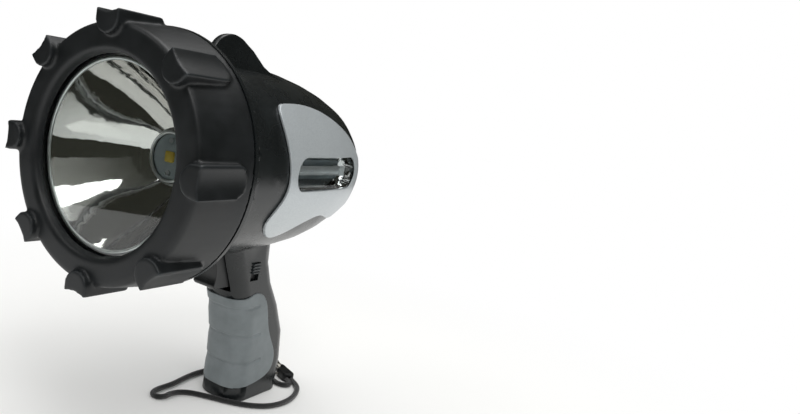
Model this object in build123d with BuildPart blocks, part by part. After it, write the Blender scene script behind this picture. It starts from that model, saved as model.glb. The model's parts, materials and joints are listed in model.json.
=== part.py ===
"""A pistol-grip rechargeable spotlight with a side lamp and a wrist lanyard.

+X is the way the beam points, +Y is the left side, +Z is up, and the origin is the
middle of the grip's flat base on the floor. Sizes are in millimetres.
"""

import os
from math import cos, pi, radians, sin, sqrt, tan

from build123d import *

os.makedirs("parts", exist_ok=True)

# Overall sizes
axis_height = 161
front_reach = 159
body_length = 221
barrel_radius = 58.2
housing_wall = 2.2
seat_gap = 0.1
running_gap = 0.3
cut_over = 5

# Bezel ring and its lobes
bezel_front = 4.5
bezel_rear = 42.3
bezel_front_radius = 66
bezel_rear_radius = 69
bezel_face_wall = 3
bezel_edge_round = 2.5
lip_radius = 50.3
lip_flare = 0.7
lip_wall = 3
lobe_count = 8
lobe_reach = 72
lobe_half_width = 8
lobe_hollow = 1.6
lobe_foot_radius = 59
lobe_length = 38
lobe_crest_length = 27
lobe_nose_rise = 3.7

# Lens, gasket and reflector, stacked behind the bezel's lip
lens_front = 11
lens_radius = 57.5
lens_thickness = 2
gasket_thickness = 1.2
gasket_rim = 3
gasket_seat = 3.5
flange_thickness = 1.5
mouth_radius = 49.7
throat_radius = 14.5
throat_back = 60
throat_length = 1.6
reflector_wall = 1.1

# LED and heat sink
board_radius = 12.5
board_thickness = 1.6
chip_size = 6
chip_height = 1.4
dome_radius = 2.6
led_screw_radius = 1.5
led_screw_height = 1.2
led_screw_place = 9
sink_radius = 20
sink_plate = 3.4
sink_fin_count = 7
sink_fin_thickness = 1.5
sink_fin_length = 9
sink_fin_pitch = 5

# Housing
neck_radius = 64.3
neck_wall = 2.2
flange_front = 42.5
flange_rear = 45
flare_mid = 51
flare_mid_radius = 62.4
flare_rear = 64
barrel_straight_end = 70
recess_count = 16
recess_width = 9.6
recess_front = 46
recess_rear = 61.6
recess_floor_radius = 57.2
fin_place = 22
fin_thickness = 4
grip_half_width = 16.5
grip_corner = 13
base_wall = 3
base_round = 1

# Silver panels and the side lamp in the left one
panel_thickness = 1.5
panel_inner_reach = 20
lamp_middle_back = 135.1
lamp_middle_up = 0.8
lamp_length = 77
lamp_height = 19
lamp_lens_proud = 1.2
trough_margin = 1.5
trough_wall = 1.3
trough_floor = 40
tube_radius = 2.8
tube_length = 60
tube_lift = 2.9
tube_end_length = 5
lamp_board_width = 11
lamp_board_thickness = 1.2
lamp_board_extra = 3

# Rechargeable cells, their cradle and the control board
cell_radius = 14
cell_length = 65
cell_pitch = 28.6
cells_rear = 195.4
cells_up = -1
terminal_radius = 4
terminal_height = 1.5
cradle_plate = 3
cradle_front_plate = 5
cradle_inset = 6
cradle_rail_width = 12
cradle_rail_height = 4
cradle_window_radius = 5
standoff_length = 11
standoff_radius = 2.5
control_width = 52
control_height = 40
control_thickness = 1.6
control_corner_inset = 4
control_chip = 9
control_chip_height = 2.5

# Trigger, its pin, spring and switch
trigger_half_width = 8.4
trigger_slot_half_width = 9
trigger_pin_radius = 1.5
trigger_pin_half_length = 13
trigger_pin_boss_radius = 3
trigger_pin_clearance = 0.15
switch_front = 127.5
switch_depth = 6.5
switch_top = -62
switch_length = 20
switch_half_width = 3.2
switch_peg_radius = 1.2
switch_peg_place = 6
plunger_size = 2.4
plunger_height = 1
spring_thickness = 0.4
spring_width = 5

# Selector slider
window_front = 131.5
window_rear = 140
window_top = -63.8
window_bottom = -76
knob_length = 6.9
knob_proud = 1.4
knob_rib_count = 3
knob_rib_width = 1
knob_rib_depth = 0.7
selector_depth = 5.6

# Grip pad
pad_proud = 0.7
pad_inset = 1.1
pad_groove_width = 2.2
pad_groove_depth = 0.8

# Housing screws and bosses
boss_radius = 4.2
screw_radius = 1.5
screw_clearance = 0.2
screw_head_radius = 2.8
screw_head_height = 2.2
screw_seat = 10
screw_reach = 7

# Slanting rear face, charge socket and its cover
pocket_length = 28
pocket_width = 20
pocket_depth = 2.7
cover_thickness = 2.4
cover_hinge_radius = 1.2
cover_pin_radius = 0.6
cover_pin_clearance = 0.15
cover_pin_grip = 2.5
plug_bore_radius = 2.85
plug_bore_depth = 9.5
socket_radius = 5
socket_length = 11
centre_pin_radius = 1
cover_boss_radius = 2.4
cover_boss_height = 2.2

# Eyes for the lanyard
tail_eye_half_width = 3
tail_eye_hole_radius = 1.6
tail_eye_back = 190
tail_eye_up = -43.4
grip_eye_radius = 4
grip_eye_hole_radius = 2
grip_eye_half_width = 1.8
grip_eye_back = 193.5
grip_eye_up = -144.6

# Snap hook, its bolt and the swivel ring
hook_wire_radius = 1.25
hook_half_width = 4.2
hook_bend = 2.4
hook_inside = 7
hook_body_length = 4.2
hook_body_half_width = 6.4
hook_body_thickness = 4.2
bolt_radius = 1
stud_radius = 0.9
stud_place = 1.9
stud_reach = 7.4
post_radius = 0.7
post_head_radius = 1.2
post_head_height = 0.6
collar_radius = 2
collar_length = 3.1
ring_radius = 3.6
ring_wire_radius = 0.9
ring_centre_back = 206
ring_centre_left = 2.5
ring_centre_height = 4.8

# Lanyard end piece and cord
sleeve_heading = 62
sleeve_reach = 14.9
sleeve_width = 9
sleeve_top = 6.1
sleeve_bottom = 0.2
sleeve_eye_bottom = 3.2
sleeve_eye_length = 5.5
sleeve_eye_radius = 2.4
sleeve_eye_wall = 1.6
sleeve_round = 1.2
cord_diameter = 3.4
cord_bore_depth = 2.5
cord_straight = 3.5
cord_spacing = 3.7
cord_floor_gap = 0.1
cord_arc_share = 0.45

# Frames: back from the lobes' front plane along the optical axis, and up from that axis
optical_point = Vector(front_reach, 0, axis_height)
optical_axis = Axis(optical_point, (-1, 0, 0))
side = Plane(origin=optical_point, x_dir=(-1, 0, 0), z_dir=(0, 1, 0))
front = Plane(origin=optical_point, x_dir=(0, -1, 0), z_dir=(-1, 0, 0))
above = Plane(origin=optical_point, x_dir=(-1, 0, 0), z_dir=(0, 0, 1))
below = Plane(origin=optical_point, x_dir=(-1, 0, 0), z_dir=(0, 0, -1))

# Barrel sections behind the straight part: back as a share of body_length, then half width,
# top and bottom as shares of barrel_radius
barrel_section_shares = [
    (0.452, 1.003, 0.991, 0.985),
    (0.588, 0.982, 0.938, 0.952),
    (0.679, 0.948, 0.888, 0.922),
    (0.747, 0.904, 0.835, 0.874),
    (0.814, 0.853, 0.759, 0.793),
    (0.869, 0.758, 0.662, 0.683),
    (0.928, 0.621, 0.481, 0.560),
    (0.964, 0.468, 0.318, 0.430),
    (1.000, 0.245, 0.103, 0.172),
]

# Grip sections: down as a share of axis_height, then front and rear as shares of body_length
grip_section_shares = [
    (0.311, 0.476, 0.708),
    (0.410, 0.511, 0.715),
    (0.503, 0.546, 0.746),
    (0.609, 0.577, 0.802),
    (0.733, 0.600, 0.850),
    (0.857, 0.608, 0.865),
    (1.000, 0.608, 0.861),
]

# Outlines seen from the left: back as a share of body_length, up as a share of barrel_radius
fin_outline_shares = [
    (0.232, 0.930), (0.262, 1.122), (0.290, 1.172), (0.323, 1.187), (0.358, 1.151),
    (0.399, 1.082), (0.452, 0.959), (0.500, 0.889), (0.500, 0.880), (0.290, 0.895),
]
panel_outline_shares = [
    (0.409, 0.637), (0.520, 0.648), (0.600, 0.610), (0.691, 0.510), (0.769, 0.357),
    (0.819, 0.148), (0.849, -0.120), (0.836, -0.282), (0.789, -0.428), (0.757, -0.493),
    (0.655, -0.443), (0.549, -0.529), (0.455, -0.646), (0.391, -0.529), (0.379, -0.469),
    (0.398, -0.256), (0.405, 0.038),
]
trigger_outline_shares = [
    (0.463, -1.050), (0.482, -0.999), (0.550, -0.999), (0.557, -1.134), (0.551, -1.387),
    (0.484, -1.385), (0.476, -1.352),
]
trigger_hollow_shares = (0.4805, -1.203)
trigger_pin_shares = (0.536, -1.075)
trigger_slot_shares = (0.430, 0.570, -0.990, -1.444)
spring_path_shares = [(0.5735, -1.385), (0.5735, -1.330), (0.5610, -1.195), (0.5640, -1.160)]
boss_place_shares = [(0.452, 0.722), (0.769, 0.533), (0.670, -1.306), (0.760, -1.770), (0.819, -2.285)]
rear_face_top_shares = (0.999, 0.067)
rear_face_bottom_shares = (0.903, -0.595)
rear_cut_below = 20
cavity_cut_below = 72.4
tail_eye_outline_shares = [
    (0.828, -0.720), (0.835, -0.790), (0.865, -0.798), (0.890, -0.722), (0.891, -0.646),
    (0.903, -0.600), (0.880, -0.520),
]

# Grip pad outline and grooves: back as a share of body_length, down as a share of axis_height
pad_outline_shares = [
    (0.567, -0.551), (0.606, -0.540), (0.640, -0.528), (0.678, -0.544), (0.704, -0.587),
    (0.729, -0.683), (0.761, -0.760), (0.786, -0.818), (0.790, -0.857), (0.779, -0.894),
    (0.745, -0.919), (0.668, -0.934), (0.612, -0.943),
]
pad_front_share = 0.45
crease_lead_share = 0.1
pad_groove_shares = [
    (0.578, -0.610, 0.668, -0.585), (0.588, -0.727, 0.695, -0.712), (0.600, -0.848, 0.716, -0.827),
]


def measured(shares, height):
    """Points (back, up) from shares of the body's length and of a height."""
    return [(back * body_length, up * height) for back, up in shares]


def turned(outline):
    """A solid turned round the optical axis from its outline, as (back, radius) points."""
    with BuildPart() as piece:
        with BuildSketch(side):
            with BuildLine():
                Polyline(*outline, close=True)
            make_face()
        revolve(axis=optical_axis)
    return piece.part


def barrel(grow):
    """The barrel behind the flare as one solid, made larger all round by grow."""
    with BuildPart() as piece:
        with BuildSketch(front.offset(barrel_straight_end)):
            Circle(barrel_radius + grow)
        for back, width, top, bottom in barrel_section_shares:
            with BuildSketch(front.offset(back * body_length)):
                with Locations((0, (top - bottom) / 2 * barrel_radius)):
                    Ellipse(width * barrel_radius + grow, (top + bottom) / 2 * barrel_radius + grow)
        loft(ruled=True)
        with BuildSketch(front.offset(barrel_straight_end)):
            Circle(barrel_radius + grow)
        extrude(amount=flare_rear - barrel_straight_end)
    return piece.part


def grip(grow, lift=0):
    """The grip as one solid, made larger all round by grow and ending lift above the floor."""
    with BuildPart() as piece:
        for down, fore, aft in grip_section_shares:
            depth = down * axis_height - (lift if down == 1 else 0)
            with BuildSketch(below.offset(depth)):
                with Locations(((fore + aft) / 2 * body_length, 0)):
                    length = (aft - fore) * body_length + 2 * grow
                    RectangleRounded(length, 2 * (grip_half_width + grow), grip_corner + grow)
        loft(ruled=True)
    return piece.part


def slab(outline, start, end, curved=False):
    """A flat-sided solid with a side-view outline, from start to end across the object."""
    with BuildPart() as piece:
        with BuildSketch(side.offset(start)):
            with BuildLine():
                if curved:
                    Spline(*outline, periodic=True)
                else:
                    Polyline(*outline, close=True)
            make_face()
        extrude(amount=end - start)
    return piece.part


def rod(back, up, radius, start, end):
    """A round rod across the object, from start to end."""
    with BuildPart() as piece:
        with BuildSketch(side.offset(start)):
            with Locations((back, up)):
                Circle(radius)
        extrude(amount=end - start)
    return piece.part


def lamp_slot(margin, start, end):
    """The side lamp's long rounded outline, wider all round by margin."""
    with BuildPart() as piece:
        with BuildSketch(side.offset(start)):
            with Locations((lamp_middle_back, lamp_middle_up)):
                SlotOverall(lamp_length + 2 * margin, lamp_height + 2 * margin)
        extrude(amount=end - start)
    return piece.part


def finish(piece, name):
    """Names a finished piece and writes it."""
    piece.label = name
    export_step(piece, f"parts/{name}.step")


side_reach = 2 * barrel_radius
lens_back = lens_front + lens_thickness
gasket_back = lens_back + gasket_thickness
neck_front = gasket_back + flange_thickness
gasket_outer = lens_radius + gasket_rim

# One lobe: a saddle-topped block with a round foot, a bullet-shaped tail and a falling crest
lobe_shoulder = sqrt(lobe_reach**2 - lobe_half_width**2)
lobe_foot_centre = lobe_foot_radius + lobe_half_width
lobe_tail = lobe_length - lobe_crest_length
with BuildPart() as lobe:
    with BuildSketch(front):
        with BuildLine():
            ThreePointArc(
                (-lobe_half_width, lobe_shoulder),
                (0, lobe_shoulder - lobe_hollow),
                (lobe_half_width, lobe_shoulder),
            )
            Line((lobe_half_width, lobe_shoulder), (lobe_half_width, lobe_foot_centre))
            ThreePointArc(
                (lobe_half_width, lobe_foot_centre),
                (0, lobe_foot_radius),
                (-lobe_half_width, lobe_foot_centre),
            )
            Line((-lobe_half_width, lobe_foot_centre), (-lobe_half_width, lobe_shoulder))
        make_face()
    extrude(amount=lobe_length)
    with BuildSketch(above):
        with BuildLine():
            tail_start = lobe_crest_length - lobe_tail / 2
            tail_waist = (lobe_length - lobe_tail / 3, lobe_half_width * 2 / 3)
            Polyline(
                (tail_start, lobe_half_width),
                (0, lobe_half_width),
                (0, -lobe_half_width),
                (tail_start, -lobe_half_width),
            )
            ThreePointArc(
                (tail_start, -lobe_half_width), (tail_waist[0], -tail_waist[1]), (lobe_length, 0)
            )
            ThreePointArc(
                (lobe_length, 0), (tail_waist[0], tail_waist[1]), (tail_start, lobe_half_width)
            )
        make_face()
    extrude(amount=side_reach, mode=Mode.INTERSECT)
    with BuildSketch(side):
        with BuildLine():
            crest_end = bezel_rear_radius - bezel_edge_round / 2
            Polyline(
                (lobe_length, crest_end), (lobe_length, 0), (0, 0), (0, lobe_reach),
                (lobe_crest_length, lobe_reach),
            )
            ThreePointArc(
                (lobe_crest_length, lobe_reach),
                (lobe_length - lobe_tail / 3, lobe_reach - lobe_nose_rise / 3),
                (lobe_length, crest_end),
            )
        make_face()
    extrude(amount=lobe_half_width * 2, both=True, mode=Mode.INTERSECT)

# Bezel ring: a rubber shell turned round the axis, with a rolled lip and the lobes on it
lip_outer = lip_radius + lip_wall
bezel_cavity_front = bezel_front + bezel_face_wall
with BuildPart() as bezel_ring:
    with BuildSketch(side):
        with BuildLine():
            roll_start = (bezel_front, lip_radius + lip_flare + bezel_face_wall)
            roll_end = (bezel_cavity_front, lip_radius + lip_flare)
            edge_start = (bezel_front + bezel_edge_round, bezel_front_radius)
            edge_end = (bezel_front, bezel_front_radius - bezel_edge_round)
            TangentArc(roll_start, roll_end, tangent=(0, -1))
            Polyline(
                roll_end, (lens_front, lip_radius), (bezel_rear, lip_radius),
                (bezel_rear, bezel_rear_radius), edge_start,
            )
            TangentArc(edge_start, edge_end, tangent=(-1, 0))
            Line(edge_end, roll_start)
        make_face()
    revolve(axis=optical_axis)
    for turn in range(lobe_count):
        add(lobe.part.rotate(optical_axis, turn * 360 / lobe_count))
    with BuildSketch(side):
        with BuildLine():
            Polyline(
                (lens_front, 0), (lens_front, lip_outer), (bezel_cavity_front, lip_outer),
                (bezel_cavity_front, gasket_outer + seat_gap), (gasket_back, gasket_outer + seat_gap),
                (gasket_back, neck_radius + seat_gap), (bezel_rear + cut_over, neck_radius + seat_gap),
                (bezel_rear + cut_over, 0), close=True,
            )
        make_face()
    revolve(axis=optical_axis, mode=Mode.SUBTRACT)
finish(bezel_ring.part, "bezel_ring")

# Front lens, a clear disc against the bezel's lip
with BuildPart() as front_lens:
    with BuildSketch(front.offset(lens_front)):
        Circle(lens_radius)
    extrude(amount=lens_thickness)
finish(front_lens.part, "front_lens")

# Lens gasket, an angle ring round the lens and behind it
with BuildPart() as lens_gasket:
    with BuildSketch(front.offset(lens_front)):
        Circle(gasket_outer)
        Circle(lens_radius + seat_gap, mode=Mode.SUBTRACT)
    extrude(amount=lens_thickness)
    with BuildSketch(front.offset(lens_back)):
        Circle(gasket_outer)
        Circle(lens_radius - gasket_seat, mode=Mode.SUBTRACT)
    extrude(amount=gasket_thickness)
finish(lens_gasket.part, "lens_gasket")

# Reflector: a parabola from mouth to throat, drawn as a quadratic curve through its tangents
focal_length = (mouth_radius**2 - throat_radius**2) / (4 * (throat_back - gasket_back))
vertex_back = throat_back + throat_radius**2 / (4 * focal_length)
handle_back = vertex_back - mouth_radius * throat_radius / (4 * focal_length)
handle_radius = (mouth_radius + throat_radius) / 2
throat_end = throat_back + throat_length
with BuildPart() as reflector:
    with BuildSketch(side):
        with BuildLine():
            outer_mouth = (neck_front, mouth_radius + reflector_wall)
            outer_throat = (throat_back, throat_radius + reflector_wall)
            Bezier(
                (gasket_back, mouth_radius), (handle_back, handle_radius), (throat_back, throat_radius)
            )
            Polyline(
                (throat_back, throat_radius), (throat_end, throat_radius),
                (throat_end, throat_radius + reflector_wall), outer_throat,
            )
            Bezier(outer_throat, (handle_back, handle_radius + reflector_wall), outer_mouth)
            Polyline(
                outer_mouth, (neck_front, neck_radius), (gasket_back, neck_radius),
                (gasket_back, mouth_radius),
            )
        make_face()
    revolve(axis=optical_axis)
finish(reflector.part, "reflector")

# LED board, its chip and its two screws, on the heat sink's face inside the throat
board_front = throat_end - board_thickness
with BuildPart() as led_board:
    with BuildSketch(front.offset(board_front)):
        Circle(board_radius)
    extrude(amount=board_thickness)
finish(led_board.part, "led_board")

with BuildPart() as led_emitter:
    with BuildSketch(front.offset(board_front)):
        RectangleRounded(chip_size, chip_size, chip_size / 6)
    extrude(amount=-chip_height)
    with BuildSketch(front.offset(board_front - chip_height)):
        Circle(dome_radius)
    extrude(amount=-chip_height / 2, taper=30)
finish(led_emitter.part, "led_emitter")

with BuildPart() as led_screws:
    with BuildSketch(front.offset(board_front)):
        with Locations((0, led_screw_place), (0, -led_screw_place)):
            Circle(led_screw_radius)
    extrude(amount=-led_screw_height)
finish(led_screws.part, "led_screws")

# Heat sink: a round plate on the reflector's throat, with upright fins behind
with BuildPart() as heat_sink:
    with BuildSketch(front.offset(throat_end)):
        Circle(sink_radius)
    extrude(amount=sink_plate)
    with BuildSketch(front.offset(throat_end + sink_plate)):
        with GridLocations(sink_fin_pitch, 0, sink_fin_count, 1):
            Rectangle(sink_fin_thickness, 2 * sink_radius)
        Circle(sink_radius, mode=Mode.INTERSECT)
    extrude(amount=sink_fin_length)
finish(heat_sink.part, "heat_sink")

# Slanting rear face: its plane, pocket and the frame that the charge cover turns in
rear_top = side.from_local_coords(Vector(*measured([rear_face_top_shares], barrel_radius)[0]))
rear_bottom = side.from_local_coords(Vector(*measured([rear_face_bottom_shares], barrel_radius)[0]))
rear_up = (rear_top - rear_bottom).normalized()
rear_out = rear_up.cross(Vector(0, 1, 0))
rear_middle = (rear_top + rear_bottom) * 0.5
rear_face = Plane(origin=rear_middle, x_dir=rear_up, z_dir=rear_out)
rear_side = Plane(origin=rear_middle, x_dir=rear_up, z_dir=(0, -1, 0))
hinge_along = pocket_length / 2 - cover_hinge_radius - running_gap


def behind_rear_face(inset, below):
    """All behind the slanting rear face, moved in by inset, to so far below its foot."""
    with BuildPart() as piece:
        with BuildSketch(rear_face.offset(-inset)):
            with Locations((-below / 2, 0)):
                Rectangle((rear_top - rear_bottom).length + below, side_reach)
        extrude(amount=side_reach)
    return piece.part


# Housing, both halves as one shell before the split
flange_radius = bezel_rear_radius
inner_radius = barrel_radius - housing_wall
collar_wall = flange_rear + housing_wall
recess_tip = recess_rear - recess_width / 2
with BuildPart() as recess:
    with BuildSketch(above.offset(recess_floor_radius)):
        with Locations(((recess_front + recess_tip) / 2, 0)):
            Rectangle(recess_tip - recess_front, recess_width)
        with Locations((recess_tip, 0)):
            Circle(recess_width / 2)
    extrude(amount=barrel_radius)
with BuildPart() as vent:
    with BuildSketch(above.offset(recess_floor_radius - 2 * housing_wall)):
        with Locations(((recess_front + recess_tip) / 2 + housing_wall / 2, 0)):
            Rectangle(recess_tip - recess_front - housing_wall, recess_width - housing_wall)
    extrude(amount=barrel_radius)

with BuildPart() as outer_grip:
    add(grip(0))
    fillet(outer_grip.edges().group_by(Axis.Z)[0], base_round)

with BuildPart() as outer_form:
    with BuildSketch(side):
        with BuildLine():
            Polyline(
                (flare_rear, barrel_radius), (flare_rear, 0), (neck_front, 0),
                (neck_front, neck_radius), (flange_front, neck_radius),
                (flange_front, flange_radius), (flange_rear, flange_radius),
            )
            ThreePointArc(
                (flange_rear, flange_radius), (flare_mid, flare_mid_radius), (flare_rear, barrel_radius)
            )
        make_face()
    revolve(axis=optical_axis)
    add(barrel(0))
    add(outer_grip.part)
    for place in (fin_place, -fin_place):
        fin_start = place - fin_thickness / 2
        add(slab(measured(fin_outline_shares, barrel_radius), fin_start, fin_start + fin_thickness))
    add(behind_rear_face(0, rear_cut_below), mode=Mode.SUBTRACT)

with BuildPart() as cavity:
    add(
        turned([
            (neck_front - cut_over, 0), (neck_front - cut_over, neck_radius - neck_wall),
            (flange_front, neck_radius - neck_wall), (flange_front, inner_radius - housing_wall),
            (collar_wall, inner_radius - housing_wall), (flare_rear, inner_radius), (flare_rear, 0),
        ])
    )
    add(barrel(-housing_wall))
    add(grip(-housing_wall, base_wall))
    add(behind_rear_face(pocket_depth + housing_wall, cavity_cut_below), mode=Mode.SUBTRACT)

boss_places = measured(boss_place_shares, barrel_radius)
pin_back, pin_up = measured([trigger_pin_shares], barrel_radius)[0]
with BuildPart() as bosses:
    for back, up in boss_places:
        add(rod(back, up, boss_radius, -side_reach, side_reach))
    add(rod(pin_back, pin_up, trigger_pin_boss_radius, -grip_half_width, grip_half_width))
    add(outer_form.part, mode=Mode.INTERSECT)

pad_outline = measured(pad_outline_shares, axis_height)
pad_front = pad_front_share * body_length


def pad_region(grow):
    """The part of the grip, made larger by grow, that the pad's side-view outline covers."""
    with BuildPart() as piece:
        with BuildSketch(side.offset(-side_reach / 2)):
            with BuildLine():
                Spline(*pad_outline)
                Polyline(
                    pad_outline[-1], (pad_front, pad_outline[-1][1]), (pad_front, pad_outline[0][1]),
                    pad_outline[0],
                )
            make_face()
        extrude(amount=side_reach)
        add(grip(grow), mode=Mode.INTERSECT)
    return piece.part


slot_front, slot_rear, slot_top, slot_bottom = trigger_slot_shares
trigger_slot = measured(
    [(slot_front, slot_top), (slot_rear, slot_top), (slot_rear, slot_bottom), (slot_front, slot_bottom)],
    barrel_radius,
)
with BuildPart() as shell:
    add(outer_form.part)
    add(cavity.part, mode=Mode.SUBTRACT)
    add(bosses.part)
    for turn in range(recess_count):
        angle = (turn + 0.5) * 360 / recess_count
        add(recess.part.rotate(optical_axis, angle), mode=Mode.SUBTRACT)
    for turn in (1, 6, 9, 14):
        angle = (turn + 0.5) * 360 / recess_count
        add(vent.part.rotate(optical_axis, angle), mode=Mode.SUBTRACT)
    add(
        slab(trigger_slot, -trigger_slot_half_width, trigger_slot_half_width), mode=Mode.SUBTRACT
    )
    pin_bore_reach = trigger_pin_half_length + seat_gap
    add(
        rod(pin_back, pin_up, trigger_pin_radius + seat_gap, -pin_bore_reach, pin_bore_reach),
        mode=Mode.SUBTRACT,
    )
    pad_pocket = pad_region(cut_over) - grip(-pad_inset - seat_gap)
    add(pad_pocket, mode=Mode.SUBTRACT)
    with BuildSketch(rear_face):
        Rectangle(pocket_length, pocket_width)
    extrude(amount=-pocket_depth, mode=Mode.SUBTRACT)
    with BuildSketch(rear_face.offset(-pocket_depth)):
        Circle(socket_radius + seat_gap)
    extrude(amount=-2 * housing_wall, mode=Mode.SUBTRACT)
    with BuildSketch(rear_side):
        with Locations((hinge_along, -seat_gap - cover_thickness / 2)):
            Circle(cover_pin_radius + seat_gap)
    extrude(
        amount=pocket_width / 2 + cover_pin_grip + seat_gap, both=True, mode=Mode.SUBTRACT
    )
    tail_eye = measured(tail_eye_outline_shares, barrel_radius)
    add(slab(tail_eye, -tail_eye_half_width, tail_eye_half_width) - cavity.part)
    add(
        rod(tail_eye_back, tail_eye_up, tail_eye_hole_radius, -side_reach, side_reach),
        mode=Mode.SUBTRACT,
    )
    with BuildSketch(side):
        with Locations((grip_eye_back, grip_eye_up)):
            Circle(grip_eye_radius)
        with Locations((grip_eye_back - grip_eye_radius / 2, grip_eye_up)):
            Rectangle(grip_eye_radius, 2 * grip_eye_radius)
        with Locations((grip_eye_back, grip_eye_up)):
            Circle(grip_eye_hole_radius, mode=Mode.SUBTRACT)
    extrude(amount=grip_eye_half_width, both=True)

# Left half: with the lamp and slider windows, screw holes and the trigger switch's two pegs
switch_middle_back = switch_front + switch_depth / 4
switch_middle_up = switch_top - switch_length / 2
peg_start = -switch_half_width
peg_end = grip_half_width - housing_wall / 2
with BuildPart() as housing_left:
    add(shell.part)
    split(bisect_by=Plane.XZ, keep=Keep.BOTTOM)
    add(lamp_slot(0, trough_floor, side_reach), mode=Mode.SUBTRACT)
    for back, up in boss_places:
        add(
            rod(back, up, screw_radius - screw_clearance, -cut_over, screw_reach + cut_over),
            mode=Mode.SUBTRACT,
        )
    with BuildSketch(side.offset(grip_half_width - 2 * housing_wall)):
        with Locations(((window_front + window_rear) / 2, (window_top + window_bottom) / 2)):
            Rectangle(window_rear - window_front, window_top - window_bottom)
    extrude(amount=4 * housing_wall, mode=Mode.SUBTRACT)
    for place in (switch_peg_place, -switch_peg_place):
        add(rod(switch_middle_back, switch_middle_up + place, switch_peg_radius, 0, peg_end))
finish(housing_left.part, "housing_left")

# Right half: with the counterbored screw holes
with BuildPart() as housing_right:
    add(shell.part)
    split(bisect_by=Plane.XZ, keep=Keep.TOP)
    for back, up in boss_places:
        add(
            rod(back, up, screw_radius + screw_clearance, -side_reach, cut_over), mode=Mode.SUBTRACT
        )
        head_bore = screw_head_radius + screw_clearance
        add(rod(back, up, head_bore, -side_reach, -screw_seat), mode=Mode.SUBTRACT)
finish(housing_right.part, "housing_right")

# Housing screws, pushed in from the right, each a separate solid
with BuildPart() as housing_screws:
    for back, up in boss_places:
        shank = screw_radius - 2 * screw_clearance
        add(rod(back, up, shank, -screw_seat, screw_reach))
        add(rod(back, up, screw_head_radius, -screw_seat - screw_head_height, -screw_seat))
finish(housing_screws.part, "housing_screws")

# Silver side panels, skins that follow the barrel
panel_outline = measured(panel_outline_shares, barrel_radius)
with BuildPart() as side_panel_left:
    add(slab(panel_outline, panel_inner_reach, side_reach, curved=True))
    add(barrel(panel_thickness), mode=Mode.INTERSECT)
    add(barrel(seat_gap), mode=Mode.SUBTRACT)
    add(lamp_slot(0, trough_floor, side_reach), mode=Mode.SUBTRACT)
finish(side_panel_left.part, "side_panel_left")

with BuildPart() as side_panel_right:
    add(slab(panel_outline, -side_reach, -panel_inner_reach, curved=True))
    add(barrel(panel_thickness), mode=Mode.INTERSECT)
    add(barrel(seat_gap), mode=Mode.SUBTRACT)
finish(side_panel_right.part, "side_panel_right")

# Side lamp: clear lens, bright trough, board and tube
with BuildPart() as side_lamp_lens:
    add(lamp_slot(-seat_gap, trough_floor, side_reach))
    add(barrel(lamp_lens_proud), mode=Mode.INTERSECT)
    add(barrel(-housing_wall), mode=Mode.SUBTRACT)
finish(side_lamp_lens.part, "side_lamp_lens")

with BuildPart() as side_lamp_reflector:
    add(lamp_slot(trough_margin, trough_floor, side_reach))
    add(barrel(-housing_wall - seat_gap), mode=Mode.INTERSECT)
    add(
        lamp_slot(trough_margin - trough_wall, trough_floor + trough_wall, side_reach),
        mode=Mode.SUBTRACT,
    )
finish(side_lamp_reflector.part, "side_lamp_reflector")

lamp_board_start = trough_floor + trough_wall
lamp_board_end = lamp_board_start + lamp_board_thickness
tube_place = lamp_board_end + tube_lift
with BuildPart() as side_lamp_board:
    with BuildSketch(side.offset(lamp_board_start)):
        with Locations((lamp_middle_back, lamp_middle_up)):
            Rectangle(tube_length + lamp_board_extra, lamp_board_width)
    extrude(amount=lamp_board_thickness)
finish(side_lamp_board.part, "side_lamp_board")

with BuildPart() as side_lamp_tube:
    with BuildSketch(front.offset(lamp_middle_back - tube_length / 2)):
        with Locations((-tube_place, lamp_middle_up)):
            Circle(tube_radius - seat_gap)
    extrude(amount=tube_length)
    with BuildSketch(side.offset(lamp_board_end)):
        with Locations((lamp_middle_back, lamp_middle_up)):
            with GridLocations(tube_length - tube_end_length, 0, 2, 1):
                Rectangle(tube_end_length, 2 * tube_radius)
    extrude(amount=tube_lift + tube_radius)
finish(side_lamp_tube.part, "side_lamp_tube")

# Rechargeable cells, four in a block, and the cradle that holds them
cells_front = cells_rear - cell_length
cell_places = [
    (across * cell_pitch / 2, cells_up + up * cell_pitch / 2) for across in (-1, 1) for up in (-1, 1)
]
with BuildPart() as battery_cells:
    with BuildSketch(front.offset(cells_front)):
        with Locations(*cell_places):
            Circle(cell_radius)
    extrude(amount=cell_length)
    with BuildSketch(front.offset(cells_front - terminal_height)):
        with Locations(*cell_places):
            Circle(terminal_radius)
    extrude(amount=terminal_height)
finish(battery_cells.part, "battery_cells")

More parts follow.
